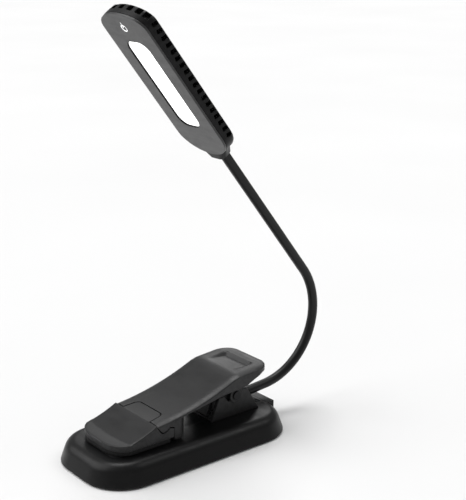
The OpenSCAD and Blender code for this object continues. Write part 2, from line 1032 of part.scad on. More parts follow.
module led_chips() {
    color([1, 0.95, 0.6])
        at_head()
            for (i = [-3 : 3], side = [-1, 1])
                translate([7.6 * i - 1.4, side * 4.4 - 1.4, -3.6])
                    cube([2.8, 2.8, 0.7]);
}

module touch_board() {
    color(board_green)
        at_head()
            translate([icon_x, 0, -face_t - 1])
                slab(8, 14, 1.5, 0.98);
}

// Ring with a gap at the top and a bar in the gap
module power_icon() {
    color(white)
        at_head()
            translate([icon_x, 0, -icon_t]) {
                difference() {
                    cylinder(r = icon_r, h = icon_t);
                    translate([0, 0, -1])
                        cylinder(r = icon_r - icon_line, h = 3);
                    translate([0, -0.8, -1])
                        cube([4, 1.6, 3]);
                }
                translate([icon_bar[0], -icon_line / 2, 0])
                    cube([icon_bar[1] - icon_bar[0], icon_line, icon_t]);
            }
}

// Saddle that holds the gooseneck's end down on the head's back wall
module neck_clamp() {
    color(steel)
        at_head()
            difference() {
                union() {
                    translate([clamp_x, 0, -neck_low])
                        rotate([0, 90, 0])
                            cylinder(r = neck_r + 1.2, h = 3);
                    translate([clamp_x, -7, clamp_z])
                        cube([3, 14, 1]);
                }
                translate([clamp_x - 1, 0, -neck_low])
                    rotate([0, 90, 0])
                        cylinder(r = neck_r + fit, h = 5);
                translate([clamp_x - 1, -10, clamp_z - 10])
                    cube([5, 20, 10]);
            }
}

module head_screws() {
    color(steel)
        at_head()
            for (s = head_spots)
                translate([s[0], s[1], -head_t + 0.85])
                    screw(1, 5, 1.7, 0.8);
}

foot_pad();
base_cover();
cover_screws();
base_shell();
ballast_plate();
battery_cell();
battery_leads();
charge_board();
usb_port();
status_lens();
lower_jaw_pad();
hinge_bracket();
bracket_screws();
hinge_pin();
pin_clip();
torsion_spring();
neck_ferrule();
lever_shell();
lever_frame();
frame_screws();
jaw_nose();
nose_screws();
upper_jaw_pad();
neck_root();
core_root();
for (k = [1 : 9]) {
    neck_link(k);
    core_link(k);
}
neck_top();
core_top();
neck_clamp();
head_shell();
face_plate();
diffuser();
light_frame();
led_board();
led_chips();
touch_board();
power_icon();
head_screws();
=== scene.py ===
import json
import math

import bmesh
import bpy
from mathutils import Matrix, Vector


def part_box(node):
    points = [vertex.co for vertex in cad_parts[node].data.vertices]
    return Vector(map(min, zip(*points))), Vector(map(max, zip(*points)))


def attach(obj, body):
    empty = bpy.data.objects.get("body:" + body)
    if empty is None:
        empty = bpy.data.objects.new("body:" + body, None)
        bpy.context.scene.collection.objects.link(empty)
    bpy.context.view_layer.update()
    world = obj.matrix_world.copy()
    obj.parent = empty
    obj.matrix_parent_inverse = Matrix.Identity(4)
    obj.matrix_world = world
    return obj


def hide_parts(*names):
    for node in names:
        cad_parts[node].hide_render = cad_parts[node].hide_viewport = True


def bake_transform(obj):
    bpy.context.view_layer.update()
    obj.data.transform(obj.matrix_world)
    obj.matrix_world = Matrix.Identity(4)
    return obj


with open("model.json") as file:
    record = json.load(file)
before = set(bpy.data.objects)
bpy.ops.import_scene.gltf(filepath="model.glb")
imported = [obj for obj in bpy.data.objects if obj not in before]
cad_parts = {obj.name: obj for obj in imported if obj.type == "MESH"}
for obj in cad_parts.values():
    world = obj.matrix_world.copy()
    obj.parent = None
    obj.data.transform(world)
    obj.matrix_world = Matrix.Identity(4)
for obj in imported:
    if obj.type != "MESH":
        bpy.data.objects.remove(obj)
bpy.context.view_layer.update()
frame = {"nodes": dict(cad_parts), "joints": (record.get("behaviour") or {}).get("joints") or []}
scene = bpy.context.scene
nodes = frame["nodes"]
joints = {j["name"]: j for j in frame["joints"]}
MM = 0.001


# ---------------------------------------------------------------- materials

def material(name, **values):
    """A Principled material with its constant values set on the shader's own sockets."""
    mat = bpy.data.materials.new(name)
    mat.use_nodes = True
    tree = mat.node_tree
    shader = tree.nodes["Principled BSDF"]
    for key, value in values.items():
        shader.inputs[key.replace("_", " ")].default_value = value
    return mat, tree, shader


def noise(tree, scale, detail=3.0, rough=0.55, stretch=None):
    """Noise over the piece's own coordinates, in metres."""
    where = tree.nodes.new("ShaderNodeTexCoord")
    out = where.outputs["Object"]
    if stretch:
        mapping = tree.nodes.new("ShaderNodeMapping")
        mapping.inputs["Scale"].default_value = stretch
        tree.links.new(out, mapping.inputs["Vector"])
        out = mapping.outputs["Vector"]
    tex = tree.nodes.new("ShaderNodeTexNoise")
    tex.inputs["Scale"].default_value = scale
    tex.inputs["Detail"].default_value = detail
    tex.inputs["Roughness"].default_value = rough
    tree.links.new(out, tex.inputs["Vector"])
    return tex.outputs["Fac"]


def spread(tree, source, low, high, start=0.3, stop=0.7):
    """Remaps a texture to values from low to high."""
    node = tree.nodes.new("ShaderNodeMapRange")
    node.inputs["From Min"].default_value = start
    node.inputs["From Max"].default_value = stop
    node.inputs["To Min"].default_value = low
    node.inputs["To Max"].default_value = high
    tree.links.new(source, node.inputs["Value"])
    return node.outputs["Result"]


def blend_colours(tree, factor, a, b):
    """Colour a where factor is 0 and b where it is 1. Each is a colour or another node's socket."""
    node = tree.nodes.new("ShaderNodeMix")
    node.data_type = "RGBA"
    # a colour mix has its factor in socket 0, its colours in 6 and 7, and its result in output 2
    for socket, value in ((node.inputs[6], a), (node.inputs[7], b)):
        if isinstance(value, bpy.types.NodeSocket):
            tree.links.new(value, socket)
        else:
            socket.default_value = (*value, 1)
    tree.links.new(factor, node.inputs[0])
    return node.outputs[2]


def bump(tree, shader, source, strength, distance):
    """Raises the surface where source is bright, by up to distance in metres."""
    node = tree.nodes.new("ShaderNodeBump")
    node.inputs["Strength"].default_value = strength
    node.inputs["Distance"].default_value = distance
    tree.links.new(source, node.inputs["Height"])
    tree.links.new(node.outputs["Normal"], shader.inputs["Normal"])


def times(tree, a, b):
    """The product of two sockets."""
    node = tree.nodes.new("ShaderNodeMath")
    node.operation = "MULTIPLY"
    tree.links.new(a, node.inputs[0])
    tree.links.new(b, node.inputs[1])
    return node.outputs[0]


def edge_highlight_share(tree):
    """How far a point lies on a rounded edge, as stored on the mesh; it sets where the edge highlight is
    painted.
    """
    node = tree.nodes.new("ShaderNodeAttribute")
    node.attribute_name = "edge"
    return node.outputs["Fac"]


def grey(v):
    """A dark neutral that is a touch blue."""
    return (v, v, v * 1.03)


def plastic(name, tone, rough, spec=0.5, grain=1500, depth=0.00002, edge_highlight=0.5):
    """Moulded plastic: spark-eroded grain, cloudy tone, handling marks, and a painted highlight on its
    rounded edges.
    """
    mat, tree, shader = material(name, **{"Specular_IOR_Level": spec})
    cloud = noise(tree, 90, 4)
    fine = noise(tree, grain, 2, 0.6)
    smears = noise(tree, 240, 5, 0.65, (1, 0.35, 1))
    tint = blend_colours(tree, spread(tree, cloud, 0, 1), grey(tone * 0.86), grey(tone * 1.12))
    tint = blend_colours(tree, spread(tree, fine, 0, 0.35), tint, grey(tone * 1.5 + 0.002))
    # rounded edges are painted lighter in patches: a painted highlight along the edges
    painted_edge_highlight = times(tree, edge_highlight_share(tree), spread(tree, noise(tree, 420, 4), 0, edge_highlight, 0.35, 0.6))
    tint = blend_colours(tree, painted_edge_highlight, tint, grey(tone * 1.9 + 0.012))
    tree.links.new(tint, shader.inputs["Base Color"])
    tree.links.new(spread(tree, smears, rough - 0.05, rough + 0.07), shader.inputs["Roughness"])
    bump(tree, shader, fine, 0.5, depth)
    return mat


def rubber(name, tone):
    """Soft black rubber: matt, with a fine pebble and dust in its hollows."""
    mat, tree, shader = material(name, **{"Specular_IOR_Level": 0.3})
    pebble = noise(tree, 2600, 2, 0.5)
    dust = noise(tree, 160, 6, 0.7)
    tint = blend_colours(tree, spread(tree, dust, 0, 0.6, 0.5, 0.75), grey(tone), grey(tone * 2.6))
    tree.links.new(tint, shader.inputs["Base Color"])
    tree.links.new(spread(tree, dust, 0.55, 0.72), shader.inputs["Roughness"])
    bump(tree, shader, pebble, 0.6, 0.00003)
    return mat


def metal(name, tone, rough, stretch=(1, 1, 1)):
    """Plated steel with fine tool marks and dull patches."""
    mat, tree, shader = material(name, Metallic=1.0)
    marks = noise(tree, 2200, 3, 0.6, stretch)
    patches = noise(tree, 300, 4)
    tint = blend_colours(tree, spread(tree, patches, 0, 1), grey(tone * 0.8), grey(tone))
    tree.links.new(tint, shader.inputs["Base Color"])
    tree.links.new(spread(tree, patches, rough - 0.07, rough + 0.12), shader.inputs["Roughness"])
    bump(tree, shader, marks, 0.35, 0.00001)
    return mat


def lit(name, colour, strength, uneven=0.04):
    """Opal plastic lit from behind, a little uneven over the lights."""
    mat, tree, shader = material(name, Roughness=0.42, **{"Emission_Strength": strength})
    cloud = noise(tree, 130, 2)
    dim = tuple(c * (1 - uneven) for c in colour)
    tint = blend_colours(tree, spread(tree, cloud, 0, 1), dim, colour)
    tree.links.new(tint, shader.inputs["Emission Color"])
    tree.links.new(tint, shader.inputs["Base Color"])
    bump(tree, shader, noise(tree, 2400, 2), 0.2, 0.00001)
    return mat


def board(name, colour):
    """Circuit board: solder mask over traces, with a satin gloss."""
    mat, tree, shader = material(name)
    traces = tree.nodes.new("ShaderNodeTexBrick")
    where = tree.nodes.new("ShaderNodeTexCoord")
    tree.links.new(where.outputs["Object"], traces.inputs["Vector"])
    traces.inputs["Scale"].default_value = 420
    traces.inputs["Color1"].default_value = (*colour, 1)
    traces.inputs["Color2"].default_value = (*(c * 0.7 for c in colour), 1)
    traces.inputs["Mortar"].default_value = (*(min(c * 1.7, 1) for c in colour), 1)
    traces.inputs["Mortar Size"].default_value = 0.03
    tree.links.new(traces.outputs["Color"], shader.inputs["Base Color"])
    tree.links.new(spread(tree, noise(tree, 500), 0.3, 0.5), shader.inputs["Roughness"])
    bump(tree, shader, traces.outputs["Fac"], 0.3, 0.00002)
    return mat


BASE = plastic("base_satin_black", 0.005, 0.36, 0.18)
LEVER = plastic("lever_charcoal", 0.010, 0.38, 0.3, 1300, 0.00002)
BRACKET = plastic("bracket_charcoal", 0.007, 0.45, 0.3)
HEAD = plastic("head_satin_black", 0.004, 0.36, 0.14, 1900, 0.00001)
FACE = plastic("face_satin_black", 0.012, 0.36, 0.6, 2200, 0.000006, 0.8)
WHITE = plastic("white_moulding", 0.72, 0.45, 0.5, 1500, 0.00001, 0.1)
CELL = plastic("cell_sleeve", 0.16, 0.35, 0.5, 900, 0.00002)
LEAD = plastic("lead_insulation", 0.03, 0.45, 0.5, 1800, 0.00002)
# near-black, barely reflective sheet for the window's recessed wall: painted shade of the recess
RECESS_SHADE = plastic("painted_recess_shade", 0.002, 0.6, 0.1)
SLEEVE = plastic("gooseneck_sleeve", 0.004, 0.34, 0.25, 2600, 0.00001, 0.1)
PAD = rubber("pad_rubber", 0.006)
STEEL = metal("plated_steel", 0.55, 0.32)
DARK_STEEL = metal("blackened_steel", 0.03, 0.42)
CORE = metal("wound_core", 0.45, 0.35, (1, 1, 6))
BALLAST = metal("ballast_steel", 0.3, 0.5, (8, 1, 1))
GREEN = board("green_board", (0.015, 0.12, 0.05))
GLOW = lit("lit_window", (1.0, 1.0, 0.99), 1.5)
ICON = lit("lit_icon", (1.0, 1.0, 1.0), 0.75)
LENS = lit("status_lens_clear", (0.82, 0.84, 0.85), 0.25, 0.2)
CHIP = lit("light_chips", (1.0, 0.93, 0.55), 0.6, 0.2)


# ---------------------------------------------------------------- mesh helpers

edge_turn = 0.5          # angle in radians at which a point counts as fully on an edge
edge_short = 0.6 * MM    # a point with an edge this short lies on a rounding


def finish_mesh(mesh, angle):
    """Smooth shading up to an angle, and each point's share of a rounded edge."""
    mesh.polygons.foreach_set("use_smooth", [True] * len(mesh.polygons))
    mesh.set_sharp_from_angle(angle=math.radians(angle))
    work = bmesh.new()
    work.from_mesh(mesh)
    work.verts.ensure_lookup_table()
    values = []
    for v in work.verts:
        turn = max((e.calc_face_angle(0) for e in v.link_edges), default=0)
        short = min((e.calc_length() for e in v.link_edges), default=1)
        values.append(min(1, turn / edge_turn) if short < edge_short else 0.0)
    work.free()
    attribute = mesh.attributes.new("edge", "FLOAT", "POINT")
    attribute.data.foreach_set("value", values)


def add(name, mesh, body, mat, replaced=(), angle=32):
    """A new piece that rides on a body and stands in for the replaced CAD nodes."""
    obj = bpy.data.objects.new(name, mesh)
    scene.collection.objects.link(obj)
    finish_mesh(mesh, angle)
    mesh.materials.clear()
    mesh.materials.append(mat)
    if body:
        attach(obj, body)
    if replaced:
        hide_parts(*replaced)
    return obj


def facing_out(mesh):
    """Joins points that coincide, and turns every face outwards."""
    work = bmesh.new()
    work.from_mesh(mesh)
    bmesh.ops.remove_doubles(work, verts=work.verts, dist=1e-6)
    bmesh.ops.recalc_face_normals(work, faces=work.faces)
    work.to_mesh(mesh)
    work.free()


def from_rings(name, rings, closed_ends=True):
    """A skin through closed rings of equal point counts."""
    n = len(rings[0])
    verts = [p for ring in rings for p in ring]
    faces = []
    for k in range(len(rings) - 1):
        for i in range(n):
            j = (i + 1) % n
            faces.append((k * n + i, k * n + j, (k + 1) * n + j, (k + 1) * n + i))
    if closed_ends:
        faces.append(tuple(range(n - 1, -1, -1)))
        faces.append(tuple((len(rings) - 1) * n + i for i in range(n)))
    mesh = bpy.data.meshes.new(name)
    mesh.from_pydata([Vector(v) * MM for v in verts], [], faces)
    if closed_ends:
        facing_out(mesh)
    return mesh


def applied(mesh, **modifiers):
    """The mesh with modifiers applied, each given as name=(type, settings)."""
    obj = bpy.data.objects.new("work", mesh)
    scene.collection.objects.link(obj)
    for kind, settings in modifiers.values():
        m = obj.modifiers.new(kind, kind)
        for key, value in settings.items():
            setattr(m, key, value)
    graph = bpy.context.evaluated_depsgraph_get()
    result = bpy.data.meshes.new_from_object(obj.evaluated_get(graph))
    bpy.data.objects.remove(obj)
    return result


def bevelled(mesh, width, segments, angle):
    """The mesh with its edges rounded where they turn by more than angle. Width is in mm."""
    return applied(mesh, bevel=("BEVEL", dict(
        width=width * MM, segments=segments, limit_method="ANGLE",
        angle_limit=math.radians(angle), use_clamp_overlap=False,
        miter_outer="MITER_ARC", harden_normals=False)))


def without(mesh, *cutters):
    """The mesh less the cutters' meshes."""
    for cutter in cutters:
        tool = bpy.data.objects.new("tool", cutter)
        scene.collection.objects.link(tool)
        mesh = applied(mesh, cut=("BOOLEAN", dict(
            operation="DIFFERENCE", solver="EXACT", object=tool)))
        bpy.data.objects.remove(tool)
    return mesh


def tidy_copy(node):
    """A copy of a CAD node's mesh with its flat faces made whole."""
    work = bmesh.new()
    work.from_mesh(nodes[node].data)
    bmesh.ops.remove_doubles(work, verts=work.verts, dist=2e-6)
    bmesh.ops.dissolve_limit(work, angle_limit=math.radians(0.8), verts=work.verts,
                             edges=work.edges)
    mesh = bpy.data.meshes.new(node + "_shape")
    work.to_mesh(mesh)
    work.free()
    return mesh


def dress(node, body, mat, width=0.2, segments=2, angle=30):
    """A CAD node's own shape with its edges rounded."""
    mesh = bevelled(tidy_copy(node), width, segments, angle)
    obj = add(node + "_finished", mesh, body, mat, (node,))
    # large flat faces keep their shading flat right up to their rounded edges
    even = obj.modifiers.new("even", "WEIGHTED_NORMAL")
    even.keep_sharp = True
    return obj


def repaint(mat, slot, *names):
    """A CAD node whose own shape is right keeps it, and gets a better material."""
    for name in names:
        nodes[name].data.materials.clear()
        nodes[name].data.materials.append(mat)


def rounded_ring(length, width, r, z, n=14, x=0.0):
    """A rounded rectangle around x at height z, with n steps to a corner."""
    points = []
    for sx, sy, start in ((1, 1, 0), (-1, 1, 90), (-1, -1, 180), (1, -1, 270)):
        corner_x = x + sx * (length / 2 - r)
        corner_y = sy * (width / 2 - r)
        for i in range(n + 1):
            a = math.radians(start + 90 * i / n)
            points.append((corner_x + r * math.cos(a), corner_y + r * math.sin(a), z))
    return points


def box_mm(node):
    """Lowest and highest corner of a CAD node, in mm."""
    low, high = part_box(node)
    return low / MM, high / MM


# ---------------------------------------------------------------- camera

azimuth, elevation = math.radians(-38.657), math.radians(16.421)
camera_at = Vector((-312.015, -438.417, 263.267))
focal_share = 1130 / 500    # focal length over the picture's height, its longer side
sensor = 36

camera = bpy.data.objects.new("camera", bpy.data.cameras.new("camera"))
scene.collection.objects.link(camera)
level = math.cos(elevation)
back = Vector((math.sin(azimuth) * level, -math.cos(azimuth) * level, math.sin(elevation)))
camera.location = camera_at * MM
camera.rotation_euler = back.to_track_quat("Z", "Y").to_euler()
camera.data.lens = focal_share * sensor
camera.data.sensor_width = sensor
camera.data.clip_start = 0.01
scene.camera = camera
scene.view_settings.view_transform = "Standard"


# ---------------------------------------------------------------- base

low, high = box_mm("base_shell")
base_l = 2 * -low.x
base_w = 2 * high.y
base_r = 21.8                     # corner radius of its plan
seam_z = low.z
deck_z = high.z
wall_lean = math.radians(19.3)    # how far the wall leans in
rim_r = 6.0                       # radius between wall and deck
rim_steps = 12


def base_ring(z, inset):
    """The base's plan at height z, drawn in by inset."""
    return rounded_ring(base_l - 2 * inset, base_w - 2 * inset, base_r - inset, z, 16)


rim_z = deck_z - rim_r
wall_top = rim_z + rim_r * math.sin(wall_lean)
rim_in = math.tan(wall_lean) * (wall_top - seam_z) + rim_r * math.cos(wall_lean)
# height and inset, from inside the lower edge, round it, up the wall and over the rim
lower_edge = ((3.5, 2.9), (0.3, 1.85), (0, 1.6), (0, 0.5), (0.12, 0.22), (0.45, 0.16))
profile = [(seam_z + z, inset) for z, inset in lower_edge]
profile += [(seam_z + z, math.tan(wall_lean) * z) for z in (1.0, 2.2, 3.6, 5.0)]
for i in range(rim_steps + 1):
    a = wall_lean + (math.pi / 2 - wall_lean) * i / rim_steps
    profile.append((rim_z + rim_r * math.sin(a), rim_in - rim_r * math.cos(a)))
profile += [(deck_z, rim_in + 2)]
shell = from_rings("base_shell_skin", [base_ring(z, inset) for z, inset in profile])

# the rear block with its charging port, and the hole of the status light
port_x = base_l / 2 - 0.8
block_l, block_w, block_r = 9, 20.4, 0.7
mouth_w, mouth_h, mouth_r = 8.1, 3.3, 0.8
lens_hole_r = 2.0

port_low, port_high = box_mm("usb_port")
port_z = (port_low.z + port_high.z) / 2
block = from_rings("block", [
    rounded_ring(block_l, block_w, block_r, z, 3, port_x - block_l / 2)
    for z in (seam_z + 0.3, deck_z - 0.3)])
block = bevelled(block, 0.35, 3, 50)
mouth = rounded_ring(mouth_h, mouth_w, mouth_r, 0, 5)
opening = from_rings("opening", [
    [(x, p[1], port_z + p[0]) for p in mouth] for x in (port_x - 6, port_x + 1)])
block = without(block, opening)
lens_low, lens_high = box_mm("status_lens")
lens_at = (lens_low + lens_high) / 2
hole = from_rings("hole", [
    [(lens_at.x + lens_hole_r * math.cos(a), lens_at.y + lens_hole_r * math.sin(a), z)
     for a in (i / 16 * math.pi for i in range(32))]
    for z in (deck_z - 1.0, deck_z + 1)])
shell = bevelled(without(shell, hole), 0.18, 2, 60)
add("base_shell_skin", shell, "base", BASE, ("base_shell",), 40)
add("port_block", block, "base", BASE, (), 40)
dress("base_cover", "base", BASE, 0.3)
dress("foot_pad", "base", PAD, 0.2)
dress("status_lens", "base", LENS, 0.35, 3)
dress("lower_jaw_pad", "base", PAD, 0.1)
dress("usb_port", "base", STEEL, 0.12)
repaint(BALLAST, "ballast_plate", "ballast_plate")
repaint(CELL, "battery_cell", "battery_cell")
repaint(LEAD, "battery_leads", "battery_leads")
repaint(GREEN, "circuit_board", "charge_board", "touch_board")


# ---------------------------------------------------------------- hinge

dress("hinge_bracket", "base", BRACKET, 0.3, 2, 35)
dress("lever_frame", "lever", BRACKET, 0.3, 2, 35)
for name, body in (("cover_screws", "base"), ("bracket_screws", "base"), ("frame_screws", "lever"),
                   ("nose_screws", "lever"), ("head_screws", "head")):
    dress(name, body, STEEL, 0.1, 2, 40)
dress("hinge_pin", "base", DARK_STEEL, 0.2, 2, 40)
dress("pin_clip", "base", STEEL, 0.05, 1, 40)
repaint(STEEL, "steel", "torsion_spring", "neck_ferrule")
repaint(CORE, "steel", "core_root", "core_top", *(f"core_link_{k}" for k in range(1, 10)))


# ---------------------------------------------------------------- lever and nose

low, high = box_mm("lever_shell")
lever_w = 2 * high.y
lever_x = high.x
top_z = high.z
foot_z = low.z
nose_low = box_mm("jaw_nose")[0]
nose_x, nose_z = nose_low.x, nose_low.z
rear_r = 9.5                                # plan radius of the lever's rear corners
crease_x = 26.3                             # where the sweep meets the thumb pad
sweep_at, sweep_r = (-37.9, 181.1), 158.5   # centre of the sweep in x and z, and its radius
split_x = -24.1                             # joint of nose and lever
tab_x = -15.1                               # rear end of the nose's tab
hook_x = -13.6                              # front of the lever's foot
throat_x = -5.4                             # back of the lever's foot
joint_gap = 0.55                            # gap round the tab
# the scoop in the thumb pad: where it starts and is deepest, and how fast its end and sides rise
scoop_from, scoop_to, scoop_end = 29.4, 41.2, 2.0
scoop_half, scoop_side, scoop_deep = 8.8, 3.2, 1.75


def sweep_z(x):
    """Height of the lever's sweep."""
    return sweep_at[1] - math.sqrt(sweep_r ** 2 - (x - sweep_at[0]) ** 2)


def along(points, x):
    """Straight runs between points of x and height."""
    for (x0, z0), (x1, z1) in zip(points, points[1:]):
        if x <= x1:
            return z0 + (z1 - z0) * (x - x0) / (x1 - x0) if x1 > x0 else z1
    return points[-1][1]


def ease(t):
    """A smooth step from 0 to 1."""
    t = min(1, max(0, t))
    return t * t * (3 - 2 * t)


def steps(*runs):
    """Numbers along runs, each given as start, stop and rough spacing."""
    values = []
    for a, b, gap in runs:
        n = max(1, round(abs(b - a) / gap))
        values += [a + (b - a) * i / n for i in range(n + 1)]
    kept = []
    for v in sorted(values):
        if not kept or v - kept[-1] > 1e-4:
            kept.append(v)
    return kept


def rounded_end(radius):
    """Insets from an edge that follow a rounding closely."""
    return sorted([0, 0.1, 0.22, 0.36] + [radius * f for f in (0.18, 0.3, 0.44, 0.6, 0.8, 1.0)])


def sheet_solid(name, xs, half, inset_of, top, bottom, *, radius, fall, lip, inner, wall=None):
    """A solid under a curved top. Its plan is xs by half(x). Its edge falls away over radius by fall.

    lip is the bevel at its foot, inner its count of columns, and wall its thickness where it is hollow.
    """
    x0, x1 = xs[0], xs[-1]
    offsets = rounded_end(radius)

    def row(x, h):
        side = [h - o * min(1, h / (2 * radius)) for o in offsets]
        middle = [side[-1] * (1 - 2 * i / inner) for i in range(1, inner)]
        return side + middle + [-v for v in reversed(side)]

    def drop(d):
        f = 1 - min(1, max(0, d / radius))
        edge = 1 - min(1, max(0, d / 0.35))
        return fall * f * f + 0.22 * edge * edge

    outer = [[(x, y, top(x, y) - drop(inset_of(x, y))) for y in row(x, half(x))] for x in xs]
    m, n = len(xs), len(outer[0])
    loop = [(i, 0) for i in range(m)] + [(m - 1, j) for j in range(1, n)]
    loop += [(i, n - 1) for i in range(m - 2, -1, -1)] + [(0, j) for j in range(n - 2, 0, -1)]
    centre = (x0 + x1) / 2
    verts, grid = [], {}

    def put(key, p):
        grid[key] = len(verts)
        verts.append(p)

    def pulled(p, d):
        x, y = p[0], p[1]
        fx = 1 - d / ((x1 - x0) / 2)
        fy = 1 - d / (lever_w / 2)
        return centre + (x - centre) * fx, y * fy

    for i in range(m):
        for j in range(n):
            put(("top", i, j), outer[i][j])
    for i, j in loop:
        x, y, z = outer[i][j]
        floor = bottom(x)
        put(("edge", i, j), (x, y, min(floor + lip, z - 0.02)))
        put(("foot", i, j), (*pulled((x, y), lip), min(floor, z - 0.03)))
        if wall:
            put(("heel", i, j), (*pulled((x, y), wall), min(floor, z - 0.03)))
    for i in range(m):
        for j in range(n):
            x, y, z = outer[i][j]
            if wall:
                px, py = pulled((x, y), wall)
                put(("in", i, j), (px, py, max(min(z, top(px, py)) - wall, bottom(x) + 0.02)))
            elif ("foot", i, j) not in grid:
                put(("foot", i, j), (*pulled((x, y), lip), min(bottom(x), z - 0.03)))
    faces = []
    under = "in" if wall else "foot"
    for i in range(m - 1):
        for j in range(n - 1):
            cell = [(i, j), (i + 1, j), (i + 1, j + 1), (i, j + 1)]
            faces.append(tuple(grid[("top", *c)] for c in cell))
            faces.append(tuple(grid[(under, *c)] for c in reversed(cell)))
    chain = ["top", "edge", "foot"] + (["heel", "in"] if wall else [])
    for a, b in zip(chain, chain[1:]):
        for p, q in zip(loop, loop[1:] + loop[:1]):
            faces.append((grid[(a, *p)], grid[(b, *p)], grid[(b, *q)], grid[(a, *q)]))
    mesh = bpy.data.meshes.new(name)
    mesh.from_pydata([Vector(v) * MM for v in verts], [], faces)
    facing_out(mesh)
    return mesh


def lever_half(x):
    """Half the lever's width."""
    reach = lever_x - rear_r
    if x <= reach:
        return lever_w / 2
    return lever_w / 2 - rear_r + math.sqrt(max(0, rear_r ** 2 - (x - reach) ** 2))


def lever_inset(x, y):
    """How far a point lies inside the lever's outline."""
    a, b = x - (lever_x - rear_r), abs(y) - (lever_w / 2 - rear_r)
    if a > 0 and b > 0:
        return rear_r - math.hypot(a, b)
    return min(lever_w / 2 - abs(y), lever_x - x)


def lever_top(x, y):
    z = sweep_z(min(x, crease_x))
    if x > crease_x:
        z += (top_z - z) * (x - crease_x) / (lever_x - crease_x)
    # the crease is softened a little, and the thumb pad has a scoop that deepens rearwards
    z -= 0.35 * max(0, 1 - abs(x - crease_x) / 2.2) ** 2
    side = 1 - ease((abs(y) - scoop_half) / scoop_side)
    if x < scoop_to:
        share = max(0, (x - scoop_from) / (scoop_to - scoop_from))
    else:
        share = 1 - ease((x - scoop_to) / scoop_end)
    return z - side * scoop_deep * share


# lower edge of the lever's sides
skirt = [(split_x, 23.1), (-22.0, 19.9), (-20.3, 18.5), (-17.6, 19.4), (-16.3, 20.7), (hook_x, 19.9),
         (hook_x + 0.01, 22.9), (throat_x, 24.1), (-3.9, 24.5), (8.2, 26.4), (17.3, 28.1),
         (26.6, 28.9), (33.6, 29.6), (37.8, 31.6), (44.0, 34.1), (lever_x, 34.1)]
xs = steps((split_x + 0.7, hook_x, 0.8), (hook_x + 0.02, 29, 1.4), (29, 45.4, 0.45), (45.4, 48.2, 0.7),
           (48.2, 50, 0.18))
lever = sheet_solid("lever_skin", xs, lever_half, lever_inset, lever_top, lambda x: along(skirt, x),
                    radius=4.6, fall=1.0, lip=0.2, inner=58, wall=1.8)

tab_front, tab_rear = 11.75, 10.9    # half widths of the tab at the split and before its corners
tab_rx, tab_ry = 3.2, 2.9            # plan radii of its corners
tab_corner = tab_x - tab_rx


def tab_half(x, grow=0.0):
    """Half the width of the nose's tab: a little narrower to the rear, with round corners."""
    if x <= tab_corner:
        return tab_front - (tab_front - tab_rear) * (x - split_x) / (tab_corner - split_x) + grow
    bow = max(0, 1 - ((x - tab_corner) / (tab_rx + grow)) ** 2)
    return tab_rear - tab_ry + (tab_ry + grow) * math.sqrt(bow)


def slot_ring(z_of):
    """Outline of the slot that the tab lies in."""
    xs = steps((split_x - 1.5, tab_corner, 1.0), (tab_corner, tab_x - 0.4, 0.3),
               (tab_x - 0.4, tab_x + joint_gap - 0.03, 0.07))
    ring = [(x, tab_half(x, joint_gap)) for x in xs]
    ring += [(x, -y) for x, y in reversed(ring)]
    return [(x, y, z_of(x)) for x, y in ring]


slot = from_rings("slot", [slot_ring(lambda x: sweep_z(x) - 1.4), slot_ring(lambda x: sweep_z(x) + 3)])
lever = without(lever, slot)

foot_rx, foot_ry = 6, 5    # plan radii of the foot's rear corners
foot_edge = 0.35


def foot_top(x):
    """Just under the skirt."""
    return along(skirt, max(x, hook_x + 0.02)) - 0.02


foot = []
for z_of, inset in ((lambda x: foot_z, foot_edge), (lambda x: foot_z + foot_edge, 0.0), (foot_top, 0.0)):
    ring = [(hook_x + inset, lever_w / 2 - inset)]
    ring += [(throat_x - foot_rx + (foot_rx - inset) * math.sin(a),
              lever_w / 2 - foot_ry + (foot_ry - inset) * math.cos(a))
             for a in (math.radians(7.5 * i) for i in range(13))]
    ring += [(x, -y) for x, y in reversed(ring)]
    foot.append([(x, y, z_of(x)) for x, y in ring])
add("lever_skin", lever, "lever", LEVER, ("lever_shell",), 26)
add("lever_foot", from_rings("lever_foot", foot), "lever", LEVER, (), 30)


nose_rx, nose_ry = 9.5, 13.8                                          # plan radii of its corners
corner_x, corner_y = nose_x + nose_rx, lever_w / 2 - nose_ry          # centre of its corners
nose_tip_z, nose_slope = 17.35, 0.05                                  # top at its front
nose_crease_x, nose_crease_bow = -41.2, 1.9                           # where it starts to rise


def nose_corner(inset, degrees):
    """A point of the nose's round corner, drawn in by inset. 0 is at the front and 90 at the side."""
    a = math.radians(degrees)
    return corner_x - (nose_rx - inset) * math.cos(a), corner_y + (nose_ry - inset) * math.sin(a)


def nose_half(x):
    """Half the nose's width."""
    if x >= corner_x:
        return lever_w / 2
    return corner_y + nose_ry * math.sqrt(max(0, 1 - ((corner_x - x) / nose_rx) ** 2))


nose_edge = [nose_corner(0, 3 * i) for i in range(31)]


def nose_inset(x, y):
    """How far a point lies inside the nose's outline."""
    if x > corner_x:
        return lever_w / 2 - abs(y)
    if abs(y) < corner_y:
        return x - nose_x
    return min(math.hypot(x - a, abs(y) - b) for a, b in nose_edge)


# top of the nose behind the split, under the lever
hook = [(split_x, 22.9), (-22.0, 19.5), (-20.3, 18.1), (-17.6, 19.0), (-16.3, 20.3), (hook_x - 0.2, 19.5)]


def nose_top(x, y):
    """Nearly level at the front, then rising faster and faster to the lever's sweep."""
    if x > split_x:
        return along(hook, x)
    crease = nose_crease_x + nose_crease_bow * (y / (lever_w / 2)) ** 2
    if x < crease:
        return nose_tip_z + nose_slope * (x - nose_x)
    start = nose_tip_z + nose_slope * (crease - nose_x)
    t = (x - crease) / (split_x - crease)
    return start + (sweep_z(split_x) - start) * (0.62 * t + 0.38 * t * t)


